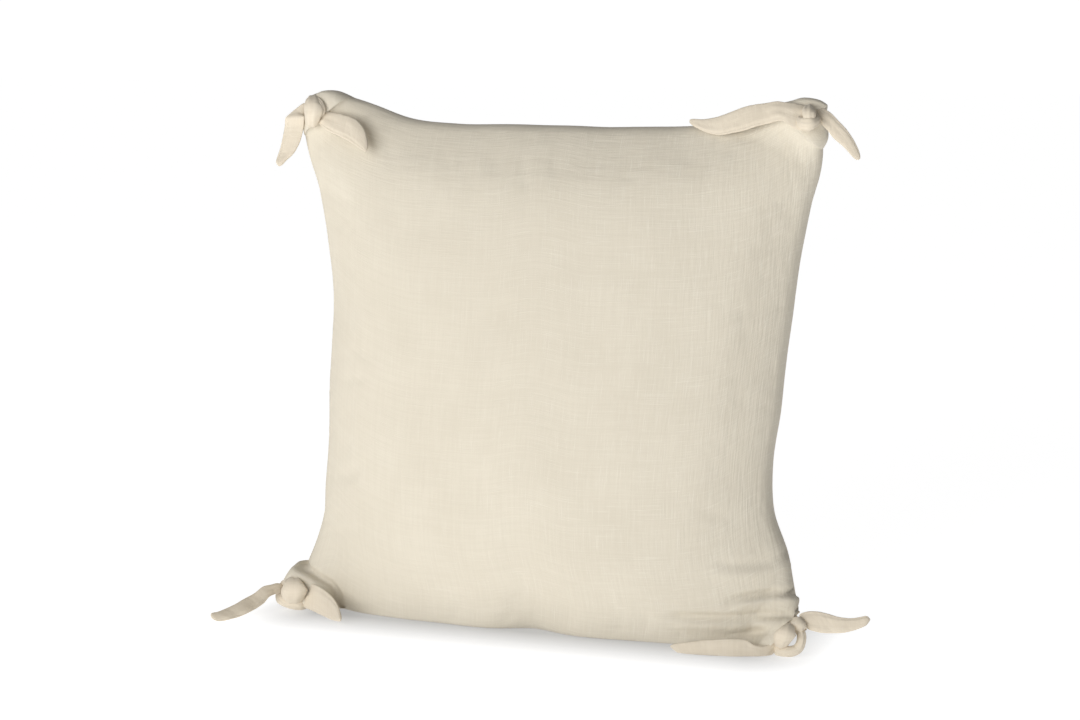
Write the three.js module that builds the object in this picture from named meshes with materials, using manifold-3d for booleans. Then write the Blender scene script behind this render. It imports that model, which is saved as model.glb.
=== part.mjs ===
// Square floor cushion with knotted corner ties, standing on its lower edge and leaning back a little.
// Millimetres. +X is to the right of the front face, the front faces -Y and +Z is up.
// The origin is on the floor, in the middle of the strip that the cushion rests on.
import * as THREE from 'three';
import { mergeVertices } from 'three/addons/utils/BufferGeometryUtils.js';
import Module from 'manifold-3d';

const wasm = await Module();
wasm.setup();

// ---- Driving dimensions ----

// The cover's seam line: X up each side and Z along the top and bottom, at even steps.
const LEFT_EDGE_X = [-282, -263, -260, -260, -269, -278];
const RIGHT_EDGE_X = [288, 267, 261, 273, 288, 290];
const TOP_EDGE_Z = [584, 567, 560, 559, 564, 588];
const BOTTOM_EDGE_Z = [38, -22, -22, -22, -22, 36]; // below 0 is fabric pressed out flat by the floor
const TOP_SEAM_Y = 34;
const BOTTOM_SEAM_Y = -16;
const HALF_THICKNESS = 85; // seam to face, at the fullest place
const SIDE_ROUNDNESS = 0.45; // power of the rise from a side seam: lower is fuller
const TOP_ROUNDNESS = 0.45;
const BOTTOM_ROUNDNESS = 0.3;
const CELLS = 16; // cells across a panel, with one more row up it for the seam's groove

const GROOVE_HALF = 11; // the bottom seam lies in a groove, off the floor
const GROOVE_HEIGHT = 5;
const SEAM_GAP = 0.6; // between the two panels' sewn edges
const ZIP_GAP = 9; // the same along the zip
const ZIP_HALF_LENGTH = 195;

// The zip's places are measured from the bottom seam in Y and from the floor in Z.
const ZIP = {
  tapeInnerEdge: 1.4, tapeWidth: 13, tapeThickness: 0.5, tapeZ: 7.2,
  coilInnerEdge: 0.8, coilWidth: 2.2, coilHeight: 1.9, coilZ: 5.6, coilEnd: 7,
  stopX: 190, stopLength: 3, stopWidth: 6,
  sliderLength: 12, sliderHalfWidth: 4, plate: 1, lowerPlateZ: 3.2, upperPlateZ: 7.9, postWidth: 0.8,
  pinX: 3.5, pinZ: 1.7, pinRadius: 0.5,
  tabLength: 24, tabHalfWidth: 2.1, tabThickness: 1, eyeRadius: 1.2, eyeClearance: 0.2,
};
const SLIDER_X = 178; // the zip is shut when the slider is here

// Layers, from the outside in: how far each is inside the cover's face, and its lowest Z.
const COVER_OUTSIDE = { inset: 0, floor: 0 };
const COVER_INSIDE = { inset: 1.2, floor: 1.2 };
const CASE_OUTSIDE = { inset: 4, floor: 10 };
const CASE_INSIDE = { inset: 5, floor: 11 };
const FILL = { inset: 9.5, floor: 14 };
const FILL_EDGE_HALF = 0.8;

const TIE_CORE_RADIUS = 5; // the tie that runs through a knot
const TIE_WRAP_RADIUS = 4; // the tie that is wound round it
const TIE_CLEARANCE = 0.4;
const TIE_HALF_WIDTH = 17;
const TIE_HALF_THICKNESS = 4;
const TIE_SIDES = 8;
const HINGE_CLEARANCE = 0.6;
const ROOT_STRAIGHT = 9;

const CREAM = 0xe9e1cd;
const COLOURS = { cover: CREAM, tie: 0xeadfc8, zip: 0xd9d2c2, metal: 0xb9bbbd, inner: 0xf3f2ee };

// Each corner: where the knot is, and its two ties. The back tie runs through the knot and the front
// tie is wound round it. A tie's end is a list of points, from the hinge at the knot to its tip, and
// flat is the direction that its flat side faces.
const CORNERS = [
  {
    name: 'top_left', seam: [-276, 25, 585], knot: [-278, 9, 572],
    back: { points: [[-300, 10, 564], [-310, 9, 552], [-318, 5, 532], [-323, -5, 500]], flat: [0.4, -1, 0.1] },
    front: { points: [[-257, 2, 568], [-235, -2, 563], [-213, -9, 551], [-199, -20, 524]], flat: [0.3, -1, 0.4] },
  },
  {
    name: 'top_right', seam: [290, 25, 588], knot: [294, 9, 573],
    back: { points: [[273, 9, 581], [250, 11, 587], [208, 17, 582], [161, 23, 570]], flat: [0, -0.8, 0.8] },
    front: { points: [[312, 8, 580], [327, 7, 570], [338, 4, 550], [343, -4, 522]], flat: [-0.3, -1, 0.1] },
  },
  {
    name: 'bottom_left', seam: [-286, -24, 36], knot: [-291, -36, 16],
    back: { points: [[-303, -51, 20], [-317, -72, 15], [-333, -103, 10], [-345, -136, 6]], flat: [0.1, -0.4, 1] },
    front: { points: [[-269, -49, 24], [-246, -67, 20], [-222, -88, 18], [-199, -108, 14]], flat: [-0.5, -0.8, 0.9] },
  },
  {
    name: 'bottom_right', seam: [290, -24, 36], knot: [292, -35, 16],
    back: { points: [[272, -47, 17], [246, -63, 18], [208, -74, 18.5], [170, -76, 16]], flat: [0.1, -1, 0.3] },
    front: { points: [[306, -36, 34], [328, -35, 39], [355, -33, 40], [384, -30, 41]], flat: [0, -0.8, 0.8] },
  },
];

// ---- Helpers ----

const group = new THREE.Group();

function addPart(name, geometry, colour, metalness = 0) {
  const roughness = metalness > 0 ? 0.35 : 0.9;
  const mesh = new THREE.Mesh(geometry, new THREE.MeshStandardMaterial({ color: colour, roughness, metalness }));
  mesh.name = name;
  group.add(mesh);
  return mesh;
}

// A smooth curve through values at even steps, read at t from 0 to 1.
function curveThrough(values) {
  const spline = new THREE.SplineCurve(values.map((value, i) => new THREE.Vector2(i, value)));
  return (t) => spline.getPoint(t).y;
}

const leftEdge = curveThrough(LEFT_EDGE_X);
const rightEdge = curveThrough(RIGHT_EDGE_X);
const topEdge = curveThrough(TOP_EDGE_Z);
const bottomEdge = curveThrough(BOTTOM_EDGE_Z);
const { lerp, smoothstep } = THREE.MathUtils;

function toManifold(geometry) {
  const plain = geometry.clone();
  plain.deleteAttribute('normal');
  plain.deleteAttribute('uv');
  const merged = mergeVertices(plain, 1e-4);
  const vertProperties = new Float32Array(merged.attributes.position.array);
  const triVerts = new Uint32Array(merged.index.array);
  return new wasm.Manifold(new wasm.Mesh({ numProp: 3, vertProperties, triVerts }));
}

function fromManifold(solid) {
  const [largest] = solid.decompose().sort((a, b) => b.volume() - a.volume());
  const mesh = largest.getMesh();
  const geometry = new THREE.BufferGeometry();
  geometry.setAttribute('position', new THREE.BufferAttribute(mesh.vertProperties, 3));
  geometry.setIndex(new THREE.BufferAttribute(mesh.triVerts, 1));
  return geometry;
}

// Moves every vertex of a closed primitive with place(point), and keeps its faces pointing out.
function warp(primitive, place) {
  primitive.deleteAttribute('normal');
  primitive.deleteAttribute('uv');
  const geometry = mergeVertices(primitive, 1e-4);
  const { position } = geometry.attributes;
  const point = new THREE.Vector3();
  for (let i = 0; i < position.count; i++) {
    place(point.fromBufferAttribute(position, i));
    position.setXYZ(i, point.x, point.y, point.z);
  }
  const [a, b, c] = [new THREE.Vector3(), new THREE.Vector3(), new THREE.Vector3()];
  const index = geometry.index.array;
  let volume = 0;
  for (let i = 0; i < index.length; i += 3) {
    a.fromBufferAttribute(position, index[i]);
    b.fromBufferAttribute(position, index[i + 1]);
    c.fromBufferAttribute(position, index[i + 2]);
    volume += a.dot(b.cross(c));
  }
  for (let i = 0; volume < 0 && i < index.length; i += 3) {
    [index[i + 1], index[i + 2]] = [index[i + 2], index[i + 1]];
  }
  return geometry;
}

// ---- The cushion's surface ----

// How far up the panel a row of the grid is. Row 0 is the bottom seam and row 1 is its groove's edge.
function rowHeight(row) {
  if (row === 0) return 0;
  if (row === 1) return 0.002;
  return (1 - Math.cos((Math.PI * (row - 1)) / CELLS)) / 2;
}

// The part of the half thickness that a row has, 1 at the fullest.
function rise(v) {
  const fullest = BOTTOM_ROUNDNESS / (BOTTOM_ROUNDNESS + TOP_ROUNDNESS);
  const shape = (t) => t ** BOTTOM_ROUNDNESS * (1 - t) ** TOP_ROUNDNESS;
  return shape(v) / shape(fullest);
}

// A point of one layer. across and row are grid places, from -1 to 1 and 0 to CELLS + 1, and side is
// -1 on the front and 1 on the back. edgeHalf and footHalf are how far the layer's edge and its
// bottom edge stand off the seam.
function layerPoint(point, layer, across, row, side, edgeHalf, footHalf) {
  const u = Math.sin((Math.PI / 2) * across);
  const v = rowHeight(row);
  const x = lerp(leftEdge(v) + layer.inset, rightEdge(v) - layer.inset, (u + 1) / 2);
  const z = lerp(bottomEdge((u + 1) / 2) + layer.inset, topEdge((u + 1) / 2) - layer.inset, v);
  const sideRise = Math.max(0, 1 - u * u) ** SIDE_ROUNDNESS;
  const foot = BOTTOM_SEAM_Y * u ** 4 * (1 - v) ** 4;
  let middle = TOP_SEAM_Y * v + foot;
  let half = edgeHalf + (HALF_THICKNESS - layer.inset) * sideRise * rise(v);
  let lowest = layer.floor;
  if (row < 2) middle = BOTTOM_SEAM_Y;
  if (row === 1) half = edgeHalf + GROOVE_HALF * sideRise;
  if (row === 0) {
    half = footHalf(x);
    lowest += GROOVE_HEIGHT;
  }
  point.set(x, middle + side * half, Math.max(z, lowest));
}

// A box of cells whose far side is split along the same diagonals as its near side, so that a thin
// wall keeps its thickness.
function panelGrid() {
  const grid = new THREE.BoxGeometry(2, 2, 2, CELLS, CELLS + 1, 1);
  const { start, count } = grid.groups[5];
  for (let i = start; i < start + count; i += 6) {
    const [a, b, d, , c] = grid.index.array.slice(i, i + 5);
    grid.index.array.set([a, b, c, a, c, d], i);
  }
  return grid;
}

const gridRow = (y) => Math.round(((y + 1) / 2) * (CELLS + 1));

// Half of the gap along the bottom seam of the cover, which is wider where the zip is.
function coverFoot(x) {
  const zip = 1 - smoothstep(Math.abs(x), ZIP_HALF_LENGTH, ZIP_HALF_LENGTH + 20);
  return lerp(SEAM_GAP, ZIP_GAP, zip) / 2;
}

// A sewn panel: a thin bowl between an outer and an inner layer, open along the seam.
function panel(outside, inside, side, footHalf) {
  return warp(panelGrid(), (p) => {
    const layer = p.z > 0 ? outside : inside;
    layerPoint(p, layer, p.x, gridRow(p.y), side, SEAM_GAP / 2, footHalf);
  });
}

// ---- Ties ----

const vector = (list) => new THREE.Vector3(...list);

// Cuts the corners of a path twice, so that a thick tie can follow it. Its ends stay where they are.
function roundedPath(points) {
  let path = points;
  for (let round = 0; round < 2; round++) {
    const cut = [path[0]];
    for (let i = 0; i + 1 < path.length; i++) {
      cut.push(path[i].clone().lerp(path[i + 1], 0.25), path[i].clone().lerp(path[i + 1], 0.75));
    }
    cut.push(path[path.length - 1]);
    path = cut;
  }
  return new THREE.CatmullRomCurve3(path, false, 'centripetal');
}

function sweep(points, radius, steps) {
  const circle = new THREE.Shape();
  for (let i = 0; i < TIE_SIDES; i++) {
    const angle = (2 * Math.PI * i) / TIE_SIDES;
    const x = radius * Math.cos(angle);
    const y = radius * Math.sin(angle);
    if (i === 0) circle.moveTo(x, y);
    else circle.lineTo(x, y);
  }
  circle.closePath();
  return new THREE.ExtrudeGeometry(circle, { steps, bevelEnabled: false, extrudePath: roundedPath(points) });
}

// The part of a tie that a knot holds runs straight for its last few millimetres and stops just short
// of the hinge of its loose end.
function rootEnd(tie) {
  const hinge = vector(tie.points[0]);
  const along = vector(tie.points[1]).sub(hinge).normalize();
  const end = hinge.addScaledVector(along, -TIE_HALF_THICKNESS - HINGE_CLEARANCE);
  return [end.clone().addScaledVector(along, -ROOT_STRAIGHT), end];
}

// A knot's own directions: along the tie through it, up to the cushion's corner and across to the front.
function knotFrame(corner) {
  const knot = vector(corner.knot);
  const along = rootEnd(corner.back)[0].sub(knot).normalize();
  const up = vector(corner.seam).sub(knot);
  up.addScaledVector(along, -up.dot(along)).normalize();
  const across = new THREE.Vector3().crossVectors(along, up);
  if (across.y > 0) across.negate();
  return { knot, along, up, across };
}

function backTiePath(corner) {
  const { knot, along, up } = knotFrame(corner);
  const entry = knot.clone().addScaledVector(along, -4).addScaledVector(up, 10);
  return [vector(corner.seam), entry, knot, ...rootEnd(corner.back)];
}

// The tie that is wound round the knot, and the part of it that leads from the knot to its loose end.
function frontTiePaths(corner) {
  const { knot, along, up, across } = knotFrame(corner);
  const radius = TIE_CORE_RADIUS + TIE_CLEARANCE + TIE_WRAP_RADIUS;
  const wrap = [vector(corner.seam).addScaledVector(along, 6)];
  for (let i = 1; i <= 7; i++) {
    const angle = (Math.PI / 4) * i;
    const shift = lerp(4.5, -4.5, (i - 1) / 6);
    const spot = knot.clone().addScaledVector(along, shift);
    spot.addScaledVector(up, radius * Math.cos(angle)).addScaledVector(across, radius * Math.sin(angle));
    wrap.push(spot);
  }
  const root = rootEnd(corner.front);
  const [nearest] = wrap.slice(1).sort((a, b) => a.distanceTo(root[0]) - b.distanceTo(root[0]));
  return { wrap, lead: [nearest, ...root] };
}

// The loose end of a tie: a flat padded strip, narrow and round at the hinge and blunt at its tip.
function tieEnd(tie) {
  const rings = 9;
  const points = tie.points.map(vector);
  const curve = new THREE.CatmullRomCurve3(points, false, 'centripetal');
  const length = curve.getLength();
  const flat = vector(tie.flat);
  return warp(new THREE.CylinderGeometry(1, 1, 1, TIE_SIDES, rings), (p) => {
    const ring = Math.round((p.y + 0.5) * rings);
    const radial = Math.hypot(p.x, p.z) < 0.5 ? 0 : 1;
    const angle = Math.atan2(p.z, p.x);
    const t = Math.max(0, (ring - 2) / (rings - 2));
    const along = curve.getTangentAt(t);
    const normal = flat.clone().addScaledVector(along, -flat.dot(along)).normalize();
    const wide = new THREE.Vector3().crossVectors(along, normal);
    const back = ring < 2 ? TIE_HALF_THICKNESS * Math.cos((Math.PI / 4) * ring) : 0;
    const round = ring < 2 ? Math.sin((Math.PI / 4) * (ring + 0.25)) : 1;
    const swell = lerp(0.42, 1, smoothstep(t, 0, 0.4)) * lerp(1, 0.55, smoothstep(t, 0.75, 1));
    const thin = lerp(1, 0.5, smoothstep(t * length, length - 20, length));
    p.copy(curve.getPointAt(t)).addScaledVector(along, -back);
    p.addScaledVector(wide, radial * TIE_HALF_WIDTH * swell * Math.cos(angle));
    p.addScaledVector(normal, radial * TIE_HALF_THICKNESS * round * thin * Math.sin(angle));
  });
}

function addCorner(corner) {
  const core = sweep(backTiePath(corner), TIE_CORE_RADIUS, 12);
  const room = sweep(backTiePath(corner), TIE_CORE_RADIUS + TIE_CLEARANCE, 12);
  const paths = frontTiePaths(corner);
  const wrap = toManifold(sweep(paths.wrap, TIE_WRAP_RADIUS, 24));
  const lead = toManifold(sweep(paths.lead, TIE_WRAP_RADIUS, 6));
  addPart(`tie_${corner.name}_back`, core, COLOURS.tie);
  addPart(`tie_${corner.name}_front`, fromManifold(wrap.add(lead).subtract(toManifold(room))), COLOURS.tie);
  addPart(`tie_${corner.name}_back_end`, tieEnd(corner.back), COLOURS.tie);
  addPart(`tie_${corner.name}_front_end`, tieEnd(corner.front), COLOURS.tie);
}

// ---- Zip, in the groove of the bottom seam ----

function box(x, y, z, at) {
  return new THREE.BoxGeometry(x, y, z).translate(...at);
}

function addZipSide(name, side) {
  const tapeY = BOTTOM_SEAM_Y + side * (ZIP.tapeInnerEdge + ZIP.tapeWidth / 2);
  const coilY = BOTTOM_SEAM_Y + side * (ZIP.coilInnerEdge + ZIP.coilWidth / 2);
  const length = 2 * ZIP_HALF_LENGTH;
  addPart(`zip_tape_${name}`, box(length, ZIP.tapeWidth, ZIP.tapeThickness, [0, tapeY, ZIP.tapeZ]), COLOURS.zip);
  const coil = box(length - 2 * ZIP.coilEnd, ZIP.coilWidth, ZIP.coilHeight, [0, coilY, ZIP.coilZ]);
  addPart(`zip_coil_${name}`, coil, COLOURS.zip);
}

// A stop clasps both coils at one end of the zip.
function addZipStop(name, x) {
  const stop = box(ZIP.stopLength, ZIP.stopWidth, ZIP.coilHeight, [x, BOTTOM_SEAM_Y, ZIP.coilZ]);
  addPart(name, stop, COLOURS.metal, 1);
}

// Two plates joined by a post that runs between the coils, with a lug under them for the pull tab.
function addSlider() {
  const outline = new THREE.Shape();
  const [front, back] = [ZIP.sliderLength / 2, -ZIP.sliderLength / 2];
  outline.moveTo(back, -ZIP.sliderHalfWidth * 0.7);
  outline.lineTo(front - 3, -ZIP.sliderHalfWidth);
  outline.quadraticCurveTo(front, -ZIP.sliderHalfWidth, front, 0);
  outline.quadraticCurveTo(front, ZIP.sliderHalfWidth, front - 3, ZIP.sliderHalfWidth);
  outline.lineTo(back, ZIP.sliderHalfWidth * 0.7);
  outline.closePath();
  const at = (geometry, z) => toManifold(geometry.translate(SLIDER_X, BOTTOM_SEAM_Y, z));
  const plate = () => new THREE.ExtrudeGeometry(outline, { depth: ZIP.plate, bevelEnabled: false, curveSegments: 4 });
  const lower = at(plate(), ZIP.lowerPlateZ);
  const upper = at(plate(), ZIP.upperPlateZ);
  const postHeight = ZIP.upperPlateZ - ZIP.lowerPlateZ;
  const post = at(new THREE.BoxGeometry(4, ZIP.postWidth, postHeight), ZIP.lowerPlateZ + postHeight / 2 + 0.2);
  const lugHeight = ZIP.lowerPlateZ - ZIP.pinZ + ZIP.pinRadius;
  let slider = lower.add(upper).add(post);
  for (const side of [-1, 1]) {
    const lug = new THREE.BoxGeometry(2, 0.8, lugHeight + 0.4).translate(ZIP.pinX, side * 2.9, 0);
    slider = slider.add(at(lug, ZIP.lowerPlateZ - lugHeight / 2 + 0.2));
  }
  const pin = new THREE.CylinderGeometry(ZIP.pinRadius, ZIP.pinRadius, 6, 12).translate(ZIP.pinX, 0, 0);
  slider = slider.add(at(pin, ZIP.pinZ));
  addPart('zip_slider', fromManifold(slider), COLOURS.metal, 1);
}

// A flat tab with an eye at one end, which turns on the slider's pin.
function addPullTab() {
  const outline = new THREE.Shape();
  const half = ZIP.tabHalfWidth;
  outline.absarc(0, 0, ZIP.eyeRadius, Math.PI / 2, (3 * Math.PI) / 2, false);
  outline.lineTo(ZIP.tabLength, -ZIP.tabThickness / 2);
  outline.lineTo(ZIP.tabLength, ZIP.tabThickness / 2);
  outline.closePath();
  const hole = new THREE.Path();
  hole.absarc(0, 0, ZIP.pinRadius + ZIP.eyeClearance, 0, 2 * Math.PI, true);
  outline.holes.push(hole);
  const tab = new THREE.ExtrudeGeometry(outline, { depth: 2 * half, bevelEnabled: false, curveSegments: 8 });
  tab.rotateX(Math.PI / 2).translate(SLIDER_X + ZIP.pinX, BOTTOM_SEAM_Y + half, ZIP.pinZ);
  addPart('zip_pull_tab', tab, COLOURS.metal, 1);
}

// ---- Inner case and filling ----

function fillBody() {
  return warp(panelGrid(), (p) => {
    layerPoint(p, FILL, p.x, gridRow(p.y), p.z > 0 ? 1 : -1, FILL_EDGE_HALF, () => FILL_EDGE_HALF);
  });
}

// ---- Assembly ----

addPart('cover_front_panel', panel(COVER_OUTSIDE, COVER_INSIDE, -1, coverFoot), COLOURS.cover);
addPart('cover_back_panel', panel(COVER_OUTSIDE, COVER_INSIDE, 1, coverFoot), COLOURS.cover);
CORNERS.forEach(addCorner);
addZipSide('front', -1);
addZipSide('back', 1);
addZipStop('zip_closed_stop', ZIP.stopX);
addZipStop('zip_open_stop', -ZIP.stopX);
addSlider();
addPullTab();
addPart('inner_case_front', panel(CASE_OUTSIDE, CASE_INSIDE, -1, () => SEAM_GAP / 2), COLOURS.inner);
addPart('inner_case_back', panel(CASE_OUTSIDE, CASE_INSIDE, 1, () => SEAM_GAP / 2), COLOURS.inner);
addPart('fibre_filling', fillBody(), COLOURS.inner);

export default group;
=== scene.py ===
# Floor cushion with knotted corner ties: the looks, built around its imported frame. Metres, Z up.
import math

import bmesh
import bpy
import numpy as np
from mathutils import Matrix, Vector, kdtree, noise


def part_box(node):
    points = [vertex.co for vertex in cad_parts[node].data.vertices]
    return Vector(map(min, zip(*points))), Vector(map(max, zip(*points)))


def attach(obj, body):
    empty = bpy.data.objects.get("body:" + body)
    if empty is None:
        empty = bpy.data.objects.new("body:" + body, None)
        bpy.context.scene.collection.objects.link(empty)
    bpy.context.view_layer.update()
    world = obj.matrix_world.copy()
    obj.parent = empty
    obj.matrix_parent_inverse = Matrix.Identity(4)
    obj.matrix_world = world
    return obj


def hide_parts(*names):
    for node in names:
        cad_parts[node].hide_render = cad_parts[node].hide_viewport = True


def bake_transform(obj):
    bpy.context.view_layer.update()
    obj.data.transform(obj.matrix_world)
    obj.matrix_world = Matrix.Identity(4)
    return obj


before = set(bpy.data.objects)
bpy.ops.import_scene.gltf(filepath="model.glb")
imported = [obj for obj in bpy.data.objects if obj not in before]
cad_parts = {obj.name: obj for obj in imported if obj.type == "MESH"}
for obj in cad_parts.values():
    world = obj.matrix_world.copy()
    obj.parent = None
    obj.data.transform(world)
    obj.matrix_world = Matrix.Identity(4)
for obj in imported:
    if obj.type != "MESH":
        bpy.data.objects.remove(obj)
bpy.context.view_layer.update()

MM = 0.001

# ---- The cushion's form, as the frame has it ----

front_low, front_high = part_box("cover_front_panel")
back_low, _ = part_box("cover_back_panel")
LEFT, RIGHT, TOP = front_low.x, front_high.x, front_high.z
TOP_SEAM_Y, BOTTOM_SEAM_Y = front_high.y, back_low.y

# How far the seam is pulled in from the box of the panels, at even steps up each side and along the top.
LEFT_PULL = np.array([0, 20, 23, 25, 24, 26.5, 26.5, 18.5, 7, -11, 0]) * MM
RIGHT_PULL = np.array([-2, 2, 22, 26, 20.5, 16, 10, 4, -5, -16, 0]) * MM
TOP_PULL = np.array([0, 6.5, 24, 29.5, 29.5, 29.8, 30, 28, 25, 14, 0]) * MM
# Where the bottom seam would be, at even steps across, if the floor did not press it flat.
BOTTOM_EDGE = np.array([38, -8, -22, -22, -22, -5, -22, -22, -22, -12, 36]) * MM

HALF_THICKNESS = 85 * MM
SIDE_ROUNDNESS, TOP_ROUNDNESS, BOTTOM_ROUNDNESS = 0.45, 0.45, 0.3
GROOVE_HALF, GROOVE_HEIGHT = 11 * MM, 5 * MM  # the bottom seam's groove, where the zip is
GROOVE_EDGE, BASE_START = 0.002, 0.0045  # the groove's edge and the cloth beside it, as shares of the height
ZIP_GAP, ZIP_HALF_LENGTH, ZIP_FADE, ZIP_ROOM = 9 * MM, 195 * MM, 20 * MM, 10 * MM
CASE_INSET, CASE_FLOOR = 4 * MM, 12 * MM
FILL_INSET, FILL_FLOOR = 9.5 * MM, 17 * MM
# Cells across the cover, across an inner layer and across the form that the cloth starts from.
COVER_CELLS, INNER_CELLS, SWELL_CELLS = 200, 64, 120


def curve_through(values, t):
    """A smooth curve through values at even steps, read at t from 0 to 1."""
    values = np.asarray(values, float)
    last = len(values) - 1
    place = np.clip(np.asarray(t, float), 0, 1) * last
    i = np.minimum(place.astype(int), last - 1)
    f = place - i
    if values.ndim > 1:
        f = f[..., None]
    ends = np.concatenate([values[:1], values, values[-1:]])
    a, b, c, d = (ends[i + k] for k in range(4))
    return 0.5 * (2 * b + (c - a) * f + (2 * a - 5 * b + 4 * c - d) * f**2 + (3 * b - a - 3 * c + d) * f**3)


def smooth(x, low, high):
    """An even rise from 0 at low to 1 at high, flat at both ends."""
    t = np.clip((x - low) / (high - low), 0, 1)
    return t * t * (3 - 2 * t)


def rise(v):
    """How full the cushion is at a share v of the way up, from 0 at its seams to 1 where it is fullest."""
    fullest = BOTTOM_ROUNDNESS / (BOTTOM_ROUNDNESS + TOP_ROUNDNESS)
    shape = lambda t: t**BOTTOM_ROUNDNESS * (1 - t) ** TOP_ROUNDNESS
    return shape(v) / shape(fullest)


def form(cells, inset, floor, side):
    """One side of a layer of the cushion: a grid of points, its rows from the bottom seam up."""
    across = np.linspace(-1, 1, cells + 1)[None, :]
    step = np.arange(cells + 1)
    above_groove = BASE_START + (1 - BASE_START) * (1 - np.cos(np.pi * step[1:] / cells)) / 2
    v = np.concatenate([[0, GROOVE_EDGE], above_groove])[:, None]
    u = np.sin(np.pi / 2 * across)
    half_way = (u + 1) / 2
    left = LEFT + curve_through(LEFT_PULL, v) + inset
    right = RIGHT - curve_through(RIGHT_PULL, v) - inset
    top = TOP - curve_through(TOP_PULL, half_way) - inset
    bottom = curve_through(BOTTOM_EDGE, half_way) + inset
    x = left + (right - left) * half_way
    z = bottom + (top - bottom) * v
    side_rise = np.maximum(0, 1 - u * u) ** SIDE_ROUNDNESS
    middle = TOP_SEAM_Y * v + BOTTOM_SEAM_Y * u**4 * (1 - v) ** 4
    half = (HALF_THICKNESS - inset) * side_rise * rise(np.clip(v, 0, 1))
    lowest = np.full_like(z, floor)
    middle[:2] = BOTTOM_SEAM_Y
    half[1] = GROOVE_HALF * side_rise[0]
    zip_here = 1 - smooth(np.abs(x[0]), ZIP_HALF_LENGTH, ZIP_HALF_LENGTH + ZIP_FADE)
    half[0] = zip_here * ZIP_GAP / 2
    lowest[0] += GROOVE_HEIGHT
    return np.stack([x, middle + side * half, np.maximum(z, lowest)], -1)


def closed_form(cells, inset, floor):
    """(points, faces) of a whole layer: its front, its back and the narrow slot in its bottom seam."""
    front, back = form(cells, inset, floor, -1), form(cells, inset, floor, 1)
    slot = (front[0] + back[0]) / 2
    slot[:, 2] += ZIP_ROOM - GROOVE_HEIGHT
    rows, columns = front.shape[:2]
    ids_front = np.arange(rows * columns).reshape(rows, columns)
    ids_back = ids_front + rows * columns
    ids_back[:, 0], ids_back[:, -1], ids_back[-1] = ids_front[:, 0], ids_front[:, -1], ids_front[-1]
    ids_slot = 2 * rows * columns + np.arange(columns)
    ids_slot[[0, -1]] = ids_front[0, [0, -1]]
    points = np.concatenate([front.reshape(-1, 3), back.reshape(-1, 3), slot])
    sheets = [
        (ids_front, False),
        (ids_back, True),
        (np.stack([ids_slot, ids_front[0]]), False),
        (np.stack([ids_slot, ids_back[0]]), True),
    ]
    faces = []
    for ids, flipped in sheets:
        quads = np.stack([ids[:-1, :-1], ids[:-1, 1:], ids[1:, 1:], ids[1:, :-1]], -1).reshape(-1, 4)
        faces.append(quads[:, ::-1] if flipped else quads)
    return points, np.concatenate(faces)


# ---- Meshes ----


def make_mesh(name, points, faces, material):
    """A smooth object. Points that no face uses, and corners that a face has twice, are dropped."""
    mesh = bpy.data.meshes.new(name)
    used, renumbered = np.unique(np.asarray(faces), return_inverse=True)
    clean = [list(dict.fromkeys(face)) for face in renumbered.reshape(np.shape(faces)).tolist()]
    mesh.from_pydata(points[used].tolist(), [], [face for face in clean if len(face) > 2])
    mesh.validate()
    mesh.shade_smooth()
    mesh.materials.append(material)
    obj = bpy.data.objects.new(name, mesh)
    bpy.context.scene.collection.objects.link(obj)
    return obj, used


def read_points(mesh):
    """The places of a mesh's points."""
    flat = np.zeros(len(mesh.vertices) * 3)
    mesh.vertices.foreach_get("co", flat)
    return flat.reshape(-1, 3)


def set_grain(mesh, grain):
    """Keeps where each point is on its cloth: metres along the weft, along the warp and from a seam."""
    attribute = mesh.attributes.new("grain", "FLOAT_VECTOR", "POINT")
    attribute.data.foreach_set("vector", np.ascontiguousarray(grain, dtype=np.float32).ravel())


def wander(points, size, seed):
    """Smooth noise from -1 to 1 at each point, with lumps of about that size."""
    shift = Vector((seed * 7.1, seed * 3.7, seed * 5.3))
    return np.array([noise.noise(Vector(p) / size + shift) for p in points.tolist()])


# ---- Materials ----


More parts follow.
